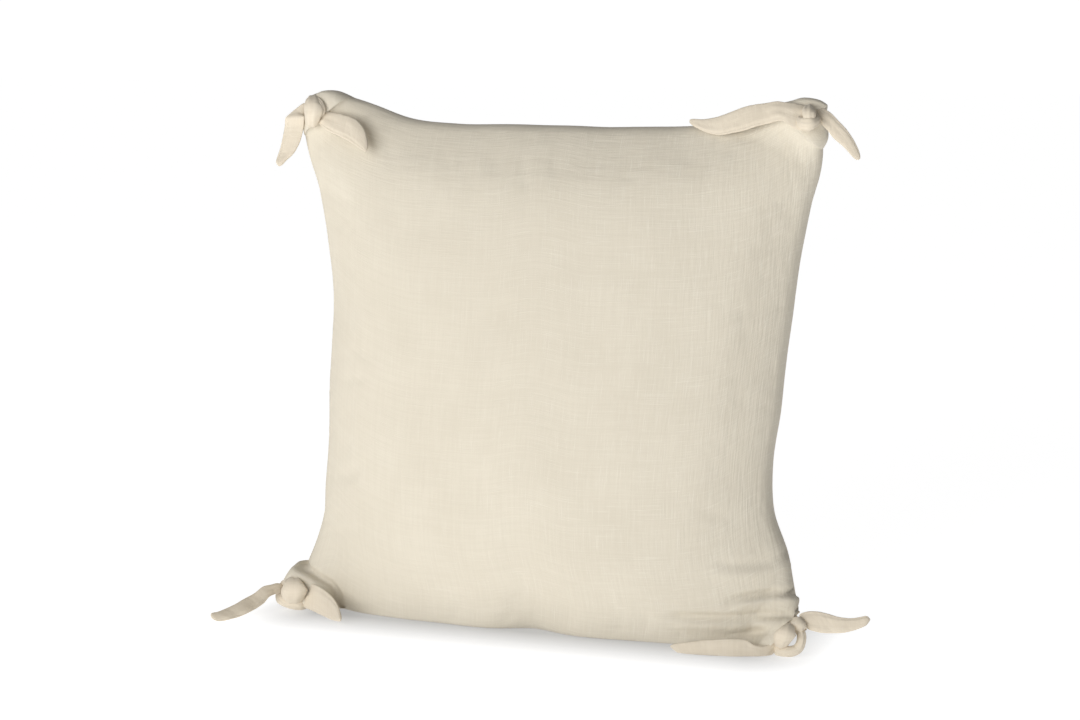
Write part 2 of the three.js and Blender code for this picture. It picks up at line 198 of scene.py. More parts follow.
class Shader:
    """A material with one Principled shader, and short ways to add the nodes that feed it."""

    def __init__(self, name, roughness, **constants):
        self.material = bpy.data.materials.new(name)
        self.material.use_nodes = True
        self.tree = self.material.node_tree
        self.principled = self.tree.nodes["Principled BSDF"]
        self.principled.inputs["Roughness"].default_value = roughness
        for key, value in constants.items():
            self.principled.inputs[key.replace("_", " ")].default_value = value

    def add(self, kind, inputs=(), **settings):
        node = self.tree.nodes.new(kind)
        for key, value in settings.items():
            setattr(node, key, value)
        for socket, value in dict(inputs).items():
            self.feed(node.inputs[socket], value)
        return node

    def feed(self, socket, value):
        if isinstance(value, bpy.types.NodeSocket):
            self.tree.links.new(value, socket)
        else:
            socket.default_value = value

    def math(self, operation, *values):
        node = self.add("ShaderNodeMath", enumerate(values), operation=operation)
        return node.outputs[0]

    def vector(self, x, y, z=0.0):
        return self.add("ShaderNodeCombineXYZ", {0: x, 1: y, 2: z}).outputs[0]

    def noise(self, vector, scale=1.0, detail=2.0, roughness=0.5):
        inputs = {"Vector": vector, "Scale": scale, "Detail": detail, "Roughness": roughness}
        return self.add("ShaderNodeTexNoise", inputs).outputs["Fac"]

    def between(self, value, low, high, to_low=0.0, to_high=1.0):
        return self.add("ShaderNodeMapRange", enumerate((value, low, high, to_low, to_high))).outputs[0]

    def mix(self, factor, a, b):
        node = self.add("ShaderNodeMix", data_type="RGBA")
        self.feed(node.inputs["Factor"], factor)
        self.feed(node.inputs[6], a)
        self.feed(node.inputs[7], b)
        return node.outputs[2]

    def bump(self, height, distance, strength=1.0, normal=None):
        inputs = {"Height": height, "Distance": distance, "Strength": strength}
        if normal is not None:
            inputs["Normal"] = normal
        return self.add("ShaderNodeBump", inputs).outputs[0]

    def finish(self, colour=None, roughness=None, normal=None):
        for socket, value in (("Base Color", colour), ("Roughness", roughness), ("Normal", normal)):
            if value is not None:
                self.feed(self.principled.inputs[socket], value)
        return self.material


def linear(red, green, blue, alpha=1.0):
    """A screen colour, 0 to 255, as the linear colour that a shader takes."""
    channels = [c / 255 for c in (red, green, blue)]
    return tuple(c / 12.92 if c <= 0.04045 else ((c + 0.055) / 1.055) ** 2.4 for c in channels) + (alpha,)


def woven(name, colour, light, dark, thread=0.9 * MM, crepe_depth=0.4 * MM, on_solid=False):
    """Plain-woven slub cotton: threads both ways with painted shade between them, streaks where a yarn is
    slubby, and crepe ripples.
    """
    shader = Shader(name, 0.9, Sheen_Weight=0.18, Sheen_Roughness=0.45, Specular_IOR_Level=0.25)
    if on_solid:
        grain = shader.add("ShaderNodeTexCoord").outputs["Object"]
    else:
        grain = shader.add("ShaderNodeAttribute", attribute_name="grain").outputs["Vector"]
    axes = shader.add("ShaderNodeSeparateXYZ", {0: grain}).outputs
    weft, warp, seam = axes[0], axes[1], axes[2]
    scaled = lambda axis, size: shader.math("DIVIDE", axis, size)
    streaks = lambda wide, tall, layer, detail=2.0: shader.noise(
        shader.vector(scaled(weft, wide), scaled(warp, tall), layer), 1.0, detail, 0.6
    )
    sway = shader.math("MULTIPLY", shader.noise(grain, 60.0, 1.0), 1.6 * MM)
    over_under = shader.math(
        "MULTIPLY",
        shader.math("SINE", scaled(shader.math("ADD", weft, sway), thread / math.pi)),
        shader.math("SINE", scaled(shader.math("ADD", warp, sway), thread / math.pi)),
    )
    slubs = shader.math(
        "ADD",
        shader.between(streaks(1.3 * MM, 34 * MM, 0.0), 0.55, 0.78),
        shader.between(streaks(40 * MM, 1.2 * MM, 3.0), 0.55, 0.78),
    )
    bands = shader.math("ADD", streaks(3.2 * MM, 70 * MM, 11.0), streaks(75 * MM, 3.4 * MM, 17.0))
    fuzz = shader.noise(grain, 2600.0, 2.0)
    near_ends = shader.between(shader.math("ABSOLUTE", warp), 0.12, 0.27, 0.3, 1.5)
    near_sides = shader.between(weft, 0.06, 0.22, 0.25, 2.4)
    ripples = shader.math(
        "ADD",
        shader.math("MULTIPLY", streaks(30 * MM, 3.8 * MM, 8.0, 1.0), near_ends),
        shader.math("MULTIPLY", streaks(3.6 * MM, 34 * MM, 5.0, 1.0), near_sides),
    )
    slub_show = shader.between(weft, -0.2, 0.2, 0.22, 0.75)
    cloudy = shader.noise(grain, 14.0, 2.0)
    tone = shader.mix(shader.between(cloudy, 0.3, 0.7, 0.0, 0.35), colour, dark)
    tone = shader.mix(shader.between(bands, 0.85, 1.15, 0.28, 0.0), tone, dark)
    tone = shader.mix(shader.math("MULTIPLY", shader.math("MINIMUM", slubs, 1.0), slub_show), tone, light)
    # Painted shade: the low points of the weave, between the threads, are mixed toward the darker tone.
    painted_weave_shade = shader.between(over_under, -1.0, -0.2, 0.2, 0.0)
    tone = shader.mix(painted_weave_shade, tone, dark)
    threads = shader.math("ADD", shader.math("MULTIPLY", over_under, 0.5), shader.math("MULTIPLY", fuzz, 0.8))
    normal = shader.bump(ripples, crepe_depth, 0.6)
    normal = shader.bump(slubs, 0.18 * MM, 0.7, normal)
    normal = shader.bump(threads, 0.1 * MM, 0.55, normal)
    near_seam = shader.between(seam, 0.0, 7 * MM, 1.0, 0.0)
    puckers = shader.noise(shader.vector(scaled(weft, 7 * MM), scaled(warp, 7 * MM), 5.0), 1.0, 1.0)
    normal = shader.bump(shader.math("MULTIPLY", puckers, near_seam), 0.9 * MM, 0.6, normal)
    return shader.finish(tone, shader.between(fuzz, 0.2, 0.8, 0.84, 0.96), normal)


def unwoven(name, colour, dark, lump, depth, fibre=1.1 * MM):
    """Matted white fibres, as in a non-woven case or loose filling."""
    shader = Shader(name, 0.95, Sheen_Weight=0.3, Sheen_Roughness=0.6, Specular_IOR_Level=0.2)
    place = shader.add("ShaderNodeTexCoord").outputs["Object"]
    lumps = shader.noise(place, 1 / lump, 3.0)
    fibres = shader.noise(place, 1 / fibre, 3.0, 0.7)
    normal = shader.bump(lumps, depth, 0.8)
    normal = shader.bump(fibres, 0.3 * MM, 0.7, normal)
    tone = shader.mix(fibres, colour, dark)
    return shader.finish(tone, shader.between(lumps, 0.3, 0.7, 0.88, 0.98), normal)


def metal(name, colour, dark):
    """Satin plated metal with fine brushing and handling marks."""
    shader = Shader(name, 0.35, Metallic=1.0)
    place = shader.add("ShaderNodeTexCoord").outputs["Object"]
    axes = shader.add("ShaderNodeSeparateXYZ", {0: place}).outputs
    along, across = (shader.math("MULTIPLY", axes[i], scale) for i, scale in ((0, 250.0), (1, 9000.0)))
    brushing = shader.noise(shader.vector(along, across, axes[2]), 1.0, 2.0)
    marks = shader.noise(place, 420.0, 3.0)
    tone = shader.mix(shader.between(marks, 0.4, 0.7), colour, dark)
    roughness = shader.between(marks, 0.3, 0.7, 0.26, 0.44)
    return shader.finish(tone, roughness, shader.bump(brushing, 0.03 * MM, 0.4))


def moulded(name, colour, dark):
    """Matte nylon with a fine grain."""
    shader = Shader(name, 0.5, Specular_IOR_Level=0.4)
    place = shader.add("ShaderNodeTexCoord").outputs["Object"]
    grain = shader.noise(place, 1800.0, 2.0)
    tone = shader.mix(shader.noise(place, 90.0, 2.0), colour, dark)
    roughness = shader.between(grain, 0.3, 0.7, 0.42, 0.6)
    return shader.finish(tone, roughness, shader.bump(grain, 0.03 * MM, 0.5))


COVER = woven("cover_cloth", linear(221, 213, 196), linear(232, 226, 211), linear(209, 200, 182))
TIES = woven(
    "tie_cloth", linear(225, 214, 195), linear(234, 225, 208), linear(213, 200, 179), crepe_depth=0.3 * MM
)
TAPE = woven(
    "zip_tape", linear(214, 206, 188), linear(224, 217, 200), linear(198, 189, 170),
    thread=0.6 * MM, on_solid=True,
)
CASE = unwoven("inner_case", linear(242, 241, 236), linear(226, 225, 219), 40 * MM, 0.4 * MM)
FIBRE = unwoven("fibre", linear(246, 245, 242), linear(222, 221, 217), 14 * MM, 3 * MM, fibre=1.6 * MM)
METAL = metal("zip_metal", linear(205, 206, 208), linear(172, 173, 175))
NYLON = moulded("zip_coil", linear(220, 211, 190), linear(206, 197, 175))

# ---- Corners: each has a hood of the cover's cloth, a knot and two ties ----

# A strand is a row of stations along a tie, from the cover through the knot to the tip. A station has the
# two edges of the cloth (x, y, z and x, y, z), its half thickness and how much it bulges across its width.
# First come how many stations belong to the knot, and which edge has the tie's seam. The places and sizes in
# these tables of the corners are in millimetres.
STRANDS = {
    "top_left_back": (3, -1, [
        (-283.1, 30, 586.9, -275.7, 30, 583.6, 4, 0),
        (-285, 20, 581.4, -276.3, 20, 579.3, 4, 0),
        (-288.6, 14, 579.3, -285, 14, 562.3, 4.5, 0),
        (-290.7, 9, 578.9, -287.8, 9, 563.6, 2.5, 0),
        (-300.5, 7, 571.4, -286.1, 5, 564, 2.3, 0),
        (-308, 2, 563.9, -284.6, 1, 564.4, 2.1, 0),
        (-309.7, 2, 560.6, -285, 1, 561.7, 2.1, 0),
        (-311.3, 4, 553.1, -287.1, 3, 553.6, 2.3, 0),
        (-313.4, 4, 541.7, -289.5, 3, 543.4, 2.3, 0),
        (-315.6, 3, 530.3, -292.7, 2, 533.1, 2.3, 0),
        (-318.6, 1, 520, -298.5, 0, 522.3, 2.3, 0),
        (-319.7, -2, 512.7, -306.4, -2, 514.8, 2.3, 0),
        (-316.6, -5, 507.2, -311, -5, 508.4, 1.8, 0),
    ]),
    "top_left_front": (14, -1, [
        (-280.5, 24, 588.8, -273, 24, 586.1, 3, 0),
        (-278.7, 10, 588.1, -276.9, 10, 579.6, 3.5, 0.2),
        (-267.7, -4, 579.1, -266.5, 2, 586.3, 3.5, 0.25),
        (-263.9, -7, 575.3, -259.8, -1, 579.1, 3.6, 0.3),
        (-264.4, -6, 570.2, -259, 0, 570.1, 3.5, 0.3),
        (-273.2, 4, 562.9, -267.5, 8, 560.6, 3.2, 0.2),
        (-292.3, 22, 564.1, -287.4, 22, 557.4, 3, 0.2),
        (-291.3, 20, 573.4, -287.5, 20, 582.5, 3, 0.2),
        (-285, 6, 583.6, -268.6, 4, 586.2, 3.8, 0.2),
        (-283.4, -5, 578.9, -261, -8, 580.5, 4.2, 0.3),
        (-282.5, -9, 571.7, -258.7, -12, 572.2, 4.4, 0.33),
        (-282.8, -6, 563.7, -261.4, -10, 563.7, 4.2, 0.3),
        (-283.5, 2, 556, -269, 0, 555.2, 3.6, 0.15),
        (-278, 12, 560.2, -272.9, 12, 568.3, 3.5, 0.1),
        (-267.2, 0, 557.5, -265.9, 3, 568.7, 2.6, 0),
        (-258.3, -5, 552.3, -258.1, 2, 570.1, 2.5, 0),
        (-246.8, -9, 547.1, -248, 0, 569.4, 2.5, 0),
        (-233.5, -13, 542.7, -233.3, -3, 567.1, 2.5, 0),
        (-220.3, -17, 537.2, -218, -6, 562.1, 2.5, 0),
        (-210.2, -21, 532.2, -207.9, -10, 553.2, 2.3, 0),
        (-202.9, -24, 529.1, -201.5, -16, 542.7, 2.1, 0),
        (-199.1, -26, 527.7, -197.4, -23, 532, 1.8, 0),
    ]),
    "top_right_back": (6, 1, [
        (294.1, 26, 591.9, 300.8, 26, 583.5, 4, 0),
        (299.1, 18, 581.6, 297.3, 18, 568.9, 4, 0),
        (295.4, 4, 585.8, 300.1, -6, 561, 4, 0),
        (289.7, 0, 587.1, 293.8, -12, 560.6, 3.4, 0),
        (282.2, 0, 588.7, 285.7, -14, 562.2, 3, 0),
        (275.3, 2, 589.4, 277.7, -12, 566, 2.8, 0),
        (268.9, 4, 589.7, 270.8, -8, 570.3, 2.3, 0),
        (260.4, 6, 590.6, 263.7, -5, 570.4, 2.3, 0),
        (248.8, 8, 588.6, 253, 0, 567.4, 2.3, 0),
        (234, 9, 586.4, 239.2, 1, 563.6, 2.3, 0),
        (222.1, 10, 583.4, 227.7, 2, 559.5, 2.3, 0),
        (207.4, 12, 577.4, 213, 4, 556.1, 2.3, 0),
        (193, 15, 572.3, 199.2, 7, 553.5, 2.3, 0),
        (177.9, 18, 569.6, 184.9, 11, 554.9, 2.1, 0),
        (164.1, 22, 569.5, 170.6, 17, 559.7, 2, 0),
        (159.7, 24, 568.1, 160.6, 23, 563.9, 1.6, 0),
    ]),
    "top_right_front": (12, 1, [
        (285.3, 22, 586.6, 290.7, 22, 583.5, 3, 0),
        (281.7, 4, 571.3, 284.8, 4, 579.8, 3, 0.1),
        (288.2, -9, 564.6, 290.1, -13, 575.3, 4.2, 0.15),
        (295.1, -14, 561.8, 295.8, -21, 575, 5, 0.24),
        (302.2, -14, 562.1, 302.7, -21, 575.6, 5, 0.24),
        (305.7, -5, 567.9, 304.6, -8, 577.4, 4.2, 0.15),
        (300.1, 8, 579.9, 295.6, 8, 586.2, 3, 0.1),
        (290.2, -4, 583.3, 302.3, -4, 585.3, 4, 0.2),
        (291.4, -15, 579.5, 306.3, -17, 580.7, 4.8, 0.26),
        (293.5, -17, 573.8, 305.6, -17, 573.6, 4.4, 0.22),
        (294.5, -6, 569.8, 301, -6, 569.9, 3.4, 0.1),
        (298.9, 4, 572.7, 298.7, 4, 580, 3, 0),
        (304.8, 2, 576, 300, 8, 584.5, 2.5, 0),
        (310.2, -1, 567.6, 308.9, 6, 584, 2.4, 0),
        (317.2, -2, 560.6, 318.3, 4, 579.8, 2.3, 0),
        (323.8, -3, 553, 327.7, 2, 571.2, 2.3, 0),
        (334, -5, 545.1, 336.8, 0, 562.5, 2.3, 0),
        (340.5, -7, 539.1, 344.4, -2, 552.6, 2.3, 0),
        (346.2, -8, 533.3, 350.5, -5, 542.4, 2.1, 0),
        (351, -9, 530.3, 354.3, -8, 533.9, 1.8, 0),
    ]),
    "bottom_left_back": (9, 1, [
        (-283, -20, 36.7, -271.8, -20, 26.9, 4, 0),
        (-278.1, -34, 32.1, -287.7, -30, 16.1, 4, 0),
        (-278.3, -40, 5, -296, -40, 1.1, 3.6, 0.2),
        (-272.5, -50, 7.7, -295.1, -50, 10.2, 4, 0.25),
        (-263, -62, 19.5, -295, -60, 19.8, 4.2, 0.34),
        (-260.6, -66, 29.5, -292.5, -64, 28.7, 4.2, 0.38),
        (-264.1, -62, 36.5, -291.8, -60, 33.4, 4.2, 0.33),
        (-272.8, -52, 37.3, -291.7, -54, 34.8, 3.8, 0.2),
        (-293.2, -40, 25.2, -301.4, -44, 29, 3.5, 0),
        (-300.5, -50, 30.4, -299.9, -49, 18.9, 2.6, 0),
        (-306.9, -58, 30, -303.6, -56, 18.1, 2.5, 0),
        (-313.3, -66, 29, -305.5, -66, 17.2, 2.3, 0),
        (-319.4, -76, 23.1, -307.9, -74, 12.1, 2.3, 0),
        (-325.7, -88, 19.3, -311.8, -86, 8.6, 2.3, 0),
        (-330.9, -100, 16, -316.8, -98, 5.6, 2.3, 0),
        (-338.4, -110, 12.1, -323.3, -108, 3.1, 2.3, 0),
        (-344.2, -120, 10.1, -330.9, -118, 1.7, 2.3, 0),
        (-348.2, -127, 10.2, -339.5, -126, 1, 2.1, 0),
        (-349.1, -130, 8.5, -345, -130, 2.6, 1.8, 0),
    ]),
    "bottom_left_front": (10, 1, [
        (-288.5, -22, 39.1, -278.4, -22, 31.6, 3, 0),
        (-301.4, -30, 29.2, -293.9, -30, 22.7, 3, 0),
        (-306.5, -42, 18.6, -298.7, -42, 18, 3, 0.2),
        (-305.1, -48, 8.9, -293.8, -50, 14.5, 3.2, 0.25),
        (-297.7, -50, 4.6, -288.2, -54, 13, 3.4, 0.25),
        (-284.5, -50, 1.7, -278.5, -56, 12, 3.4, 0.25),
        (-273.5, -48, 0.3, -271.3, -54, 12.1, 3.4, 0.2),
        (-269.5, -40, 2.8, -271.7, -46, 15.4, 3.2, 0.1),
        (-275.8, -34, 15.7, -282, -34, 22.3, 3, 0),
        (-279.2, -38, 4.5, -278.9, -38, 25.9, 3, 0),
        (-267.5, -50, 4.2, -269.5, -46, 31.5, 2.5, 0),
        (-258.2, -57, 4.2, -260.3, -50, 33.5, 2.4, 0),
        (-244.3, -66, 3.3, -247.6, -56, 32.6, 2.3, 0),
        (-230.7, -76, 2.8, -235.9, -62, 29.1, 2.3, 0),
        (-219.8, -84, 2.7, -223.9, -70, 24.9, 2.3, 0),
        (-210.9, -92, 4.2, -214.2, -80, 20, 2.2, 0),
        (-204.7, -98, 6, -205.7, -92, 13.4, 2, 0),
        (-201.9, -101, 7.6, -202, -99, 10.3, 1.6, 0),
    ]),
    "bottom_right_back": (10, 1, [
        (287.9, -20, 45.1, 296.8, -20, 40.3, 4, 0),
        (304.7, -30, 26.8, 298.9, -30, 37.4, 4, 0),
        (303.2, -44, 25.9, 309.8, -40, 32.1, 4, 0.2),
        (307.3, -50, 25.1, 315, -44, 24.8, 4, 0.25),
        (308, -53, 18.8, 315.6, -47, 15.7, 4, 0.28),
        (305, -54, 13.2, 312.6, -48, 7.4, 4, 0.28),
        (300.6, -56, 11.4, 305.5, -50, 1.9, 4, 0.28),
        (294.8, -57, 9.8, 294.1, -50, -1.7, 3.9, 0.28),
        (288.2, -54, 8.9, 286.1, -48, -1.7, 3.6, 0.2),
        (285.7, -48, 15.4, 280.7, -44, 3.8, 3.4, 0.1),
        (282.9, -48, 18.4, 279.6, -50, 0.6, 2.6, 0),
        (275.2, -55, 11.8, 274.4, -55, -1.6, 2.5, 0),
        (264.2, -62, 12.7, 265.7, -60, -3.5, 2.4, 0),
        (253.6, -64, 18, 253.7, -65, -4.1, 2.3, 0),
        (239.1, -68, 19, 239.5, -70, -5.1, 2.3, 0),
        (222.2, -71, 17.5, 223.7, -73, -5.8, 2.3, 0),
        (205.1, -73, 15.1, 208.7, -75, -6.1, 2.3, 0),
        (189.5, -75, 12, 195.1, -76, -4.4, 2.2, 0),
        (177.9, -75, 9.5, 182.8, -76, -0.4, 2.1, 0),
        (172.6, -75, 7.6, 174.3, -76, 4.7, 1.7, 0),
    ]),
    "bottom_right_front": (11, -1, [
        (295.5, -20, 48, 303.8, -22, 42.5, 3, 0),
        (295.9, -30, 23.8, 282.8, -30, 20.4, 3, 0),
        (294.5, -42, 6.8, 281.7, -44, 9.5, 3.4, 0.2),
        (298.3, -56, 12.8, 281.7, -56, 18.2, 4, 0.35),
        (306.1, -62, 23.7, 283.2, -62, 26, 4.2, 0.4),
        (306.4, -60, 30.9, 285.7, -60, 31.8, 4.2, 0.4),
        (304.3, -50, 33.1, 291.6, -52, 33.2, 3.8, 0.3),
        (304.8, -42, 32.2, 297.2, -42, 30.4, 3.6, 0.2),
        (308, -44, 27.5, 299.5, -44, 33.3, 4, 0.3),
        (315.4, -46, 31.4, 300, -46, 40, 4.2, 0.32),
        (315.7, -42, 30.9, 304, -42, 42.6, 3.6, 0.2),
        (305.7, -37, 42, 314.4, -38, 29.8, 2.6, 0),
        (312.3, -35, 46.8, 321.5, -38, 27.1, 2.5, 0),
        (323.9, -34, 48.1, 331.4, -38, 25.8, 2.4, 0),
        (335.8, -33, 46.4, 342, -37, 26.1, 2.3, 0),
        (347.5, -33, 43.9, 353.3, -37, 27.6, 2.3, 0),
        (360.1, -32, 43.3, 362.2, -36, 30, 2.3, 0),
        (369.5, -31, 45, 370.4, -34, 33, 2.2, 0),
        (377.4, -30, 46.9, 377.5, -32, 36.7, 2.1, 0),
        (381.4, -29, 44.5, 380.9, -30, 40.9, 1.7, 0),
    ]),
}

# Where each tie bends at its knot, and the next point of its loose end.
HINGES = {
    "top_left_back": ((-300, 10, 564), (-310, 9, 552)),
    "top_left_front": ((-257, 2, 568), (-235, -2, 563)),
    "top_right_back": ((273, 9, 581), (250, 11, 587)),
    "top_right_front": ((312, 8, 580), (327, 7, 570)),
    "bottom_left_back": ((-303, -51, 20), (-317, -72, 15)),
    "bottom_left_front": ((-269, -49, 24), (-246, -67, 20)),
    "bottom_right_back": ((272, -47, 17), (246, -63, 18)),
    "bottom_right_front": ((306, -36, 34), (328, -35, 39)),
}
# The middle of each knot.
KNOTS = {
    "top_left": (-273, 4, 572), "top_right": (295, 5, 573),
    "bottom_left": (-287, -44, 19), "bottom_right": (291, -46, 24),
}

# A hood is the cover's corner, gathered into the knot: its upper or outer edge, its other edge and half
# its depth, at even steps from where it leaves the cushion to the knot.
HOODS = {
    "top_left": [
        (-235.9, 24, 586.6, -292.2, 24, 541.2, 24),
        (-250.6, 18, 593.4, -293.1, 22, 549.3, 19),
        (-264.5, 13, 593.9, -292.4, 20, 554.5, 14),
        (-274, 12, 589.8, -289.1, 16, 559.3, 10),
        (-280.6, 10, 580.7, -284.1, 12, 564.7, 6),
    ],
    "top_right": [
        (254.4, 24, 587, 307.1, 24, 539.6, 24),
        (271.9, 18, 590.7, 311, 24, 547.2, 19),
        (286.9, 13, 594.8, 312.5, 24, 553.1, 14),
        (303.3, 12, 593, 311.5, 24, 559.9, 11),
        (313, 12, 587.9, 308.5, 22, 573.2, 7),
    ],
    "bottom_left": [
        (-277.1, -16, 50.6, -219.9, -30, 2.9, 25),
        (-284.5, -30, 52.5, -234.9, -36, 3.1, 19),
        (-290.3, -41, 44.5, -255.6, -40, 4.6, 13),
        (-295.4, -46, 34.1, -272.7, -44, 4.2, 9),
        (-296.4, -44, 22.3, -279.3, -46, 11.2, 5),
    ],
    "bottom_right": [
        (300.1, -20, 52.1, 256.1, -42, -1.3, 15),
        (302.3, -26, 47.1, 267.5, -44, 2.6, 14),
        (302.6, -32, 43.5, 276.6, -46, 8.4, 12),
        (300, -36, 39.7, 282.2, -47, 13.7, 10),
        (293.4, -38, 26.8, 287.3, -46, 20.5, 6),
    ],
}
HOOD_FLATNESS = 4.5  # above 2, a hood is flatter in front than an ellipse
HOOD_START = 0.4  # how near the corner the hood's first row is, where 1 is the corner itself
# How far from the corner the cover is drawn into its hood.
HOOD_REACH = {"top_left": 45 * MM, "top_right": 45 * MM, "bottom_left": 42 * MM, "bottom_right": 34 * MM}

# Creases in the front of the cover: points along each, how deep and wide it is, how high the roll beside it
# is, and the way to the roll.
CREASES = [
    ([(227, 51), (242, 58), (263, 62), (284, 64), (302, 62), (318, 57)], 6.5, 3.2, 3.5, (0, -1)),
    ([(166, 33), (177, 34), (204, 35), (234, 36), (264, 39), (290, 43), (308, 46)], 5.5, 4.0, 3.0, (0, -1)),
    ([(215, 14), (235, 15), (250, 17), (264, 21), (274, 27)], 3.2, 3.6, 1.0, (0, -1)),
    ([(212, 96), (237, 94), (267, 98), (290, 106)], 2.2, 5.0, 1.5, (0, -1)),
    ([(-286, 53), (-270, 48), (-254, 40), (-240, 32), (-233, 22), (-230, 12)], 8.5, 3.2, 2.5, (-0.6, -0.8)),
]
CREASE_STEPS = 60

RING_STEP = 1.5 * MM
RING_SIDES = 40
PATH_STEPS = 1500
TIP_LENGTH = 5 * MM
TIE_SEAM = 0.76  # where the tie's sewn groove is, as a share of its half width


def unit(v):
    """Vectors made one long."""
    v = np.asarray(v, float)
    return v / np.maximum(np.linalg.norm(v, axis=-1, keepdims=True), 1e-9)


def strand(name, seed):
    """A turned tube of cloth, pressed flat, along its stations, and which of its points are in the knot."""
    root_count, seam_side, rows = STRANDS[name]
    rows = np.array(rows, float)
    first_edge, second_edge = rows[:, :3] * MM, rows[:, 3:6] * MM
    thicknesses, arches = rows[:, 6] * MM, rows[:, 7]
    knot = np.array(KNOTS[name.rsplit("_", 1)[0]]) * MM
    fine = np.linspace(0, 1, PATH_STEPS)
    middles, halves = (first_edge + second_edge) / 2, (second_edge - first_edge) / 2
    path = curve_through(middles, fine)
    reach = np.concatenate([[0], np.cumsum(np.linalg.norm(np.diff(path, axis=0), axis=1))])
    total = reach[-1]
    rings = int(total / RING_STEP)
    distance = np.linspace(0, total, rings + 1)
    t = np.interp(distance, reach, fine)
    hinge_distance = np.interp(root_count / (len(rows) - 1), fine, reach)
    centre = curve_through(middles, t)
    half = curve_through(halves, t)
    width = np.linalg.norm(half, axis=1)
    side = unit(half)
    normal = unit(soften(unit(np.cross(unit(np.gradient(centre, axis=0)), side)), 3))
    outward = np.sign(np.sum(normal * (centre - knot), axis=1))
    tip = np.clip((distance - (total - TIP_LENGTH)) / TIP_LENGTH, 0, 1)
    rounding = np.sqrt(np.maximum(1 - tip**2, 0.02))
    width = width * (0.35 + 0.65 * rounding)
    thick = curve_through(thicknesses, t) * rounding
    arch = curve_through(arches, t) * outward

    angle = np.linspace(0, 2 * math.pi, RING_SIDES, endpoint=False)
    x = np.sign(np.cos(angle)) * np.abs(np.cos(angle)) ** 0.85
    y = np.sign(np.sin(angle)) * np.abs(np.sin(angle)) ** 0.7
    edge = x * seam_side
    groove = 1 - 0.5 * np.exp(-(((edge - TIE_SEAM) / 0.07) ** 2))
    groove = groove - 0.25 * smooth(edge, TIE_SEAM, TIE_SEAM + 0.12)
    loose = smooth(distance, hinge_distance - 4 * MM, hinge_distance + 12 * MM)[:, None]
    gathered = np.exp(-np.maximum(distance - hinge_distance, 0) / (16 * MM))[:, None]
    pleat_line = 8 * x + seed + 0.7 * np.sin(distance[:, None] / (6 * MM))
    pleats = 1 + (0.1 + 0.12 * loose) * gathered * np.cos(pleat_line)
    lift = y[None, :] * thick[:, None] * (1 + loose * (groove - 1)[None, :]) * pleats
    lift = lift - arch[:, None] * width[:, None] * (x**2)[None, :]
    across = width[:, None] * x[None, :]
    rings_at = centre[:, None] + side[:, None] * across[..., None] + normal[:, None] * lift[..., None]
    points = rings_at.reshape(-1, 3)
    along = np.broadcast_to(distance[:, None], across.shape)
    cloth = np.stack([across, along, np.full_like(across, seed * MM)], -1).reshape(-1, 3)
    ripple = wander(cloth * (1, 1.5, 1), 5 * MM, seed) * 0.35 * MM
    ripple = ripple + wander(cloth, 15 * MM, seed + 1) * 0.8 * MM
    points = points + np.repeat(normal, RING_SIDES, axis=0) * ripple[:, None]
    points[:, 2] = np.maximum(points[:, 2], 0.4 * MM)

    ids = np.arange(len(points)).reshape(rings + 1, RING_SIDES)
    faces = tube_faces(ids).tolist()
    for ring, middle, turn in ((ids[0], len(points), 1), (ids[-1], len(points) + 1, -1)):
        for a, b in zip(ring, np.roll(ring, -1)):
            faces.append([middle, a, b][::turn])
    ends = [points[ids[0]].mean(0), points[ids[-1]].mean(0)]
    mesh = bpy.data.meshes.new(name)
    mesh.from_pydata(np.concatenate([points, ends]).tolist(), [], faces)
    mesh.validate()
    mesh.shade_smooth()
    mesh.materials.append(TIES)
    seam_gap = np.abs((edge - 0.8)[None, :] * width[:, None])
    grain = np.stack([across, along, seam_gap], -1).reshape(-1, 3)
    set_grain(mesh, np.concatenate([grain, grain[[0, -1]]]))
    obj = bpy.data.objects.new(f"{name}_tie", mesh)
    bpy.context.scene.collection.objects.link(obj)
    fix_facing(obj)
    in_knot = np.concatenate([(along < hinge_distance).ravel(), [True, False]])
    return obj, in_knot


def tube_faces(ids):
    """The faces of a tube whose rings of points have these numbers."""
    wrapped = np.concatenate([ids, ids[:, :1]], 1)
    corners = [wrapped[:-1, :-1], wrapped[1:, :-1], wrapped[1:, 1:], wrapped[:-1, 1:]]
    return np.stack(corners, -1).reshape(-1, 4)


def soften(rows, times):
    """Rows averaged with their neighbours, a few times."""
    for _ in range(times):
        padded = np.concatenate([rows[:1], rows, rows[-1:]])
        rows = (padded[:-2] + 2 * padded[1:-1] + padded[2:]) / 4
    return rows


def fix_facing(obj):
    """Turns every face of a closed mesh outward."""
    shape = bmesh.new()
    shape.from_mesh(obj.data)
    bmesh.ops.recalc_face_normals(shape, faces=shape.faces)
    shape.to_mesh(obj.data)
    shape.free()


def make_tie(name, seed):
    """One tie, in one piece from the cover through its knot to its tip, in place of the frame's tie and its
    loose end.
    """
    obj, in_knot = strand(name, seed)
    hinge, second = (np.array(p) * MM for p in HINGES[name])
    along = unit(second - hinge)
    knot_reach = max(0.0, float(((read_points(obj.data)[in_knot] - hinge) @ along).max()))
    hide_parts(f"tie_{name}", f"tie_{name}_end")
    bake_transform(obj)


# ---- The cushion ----


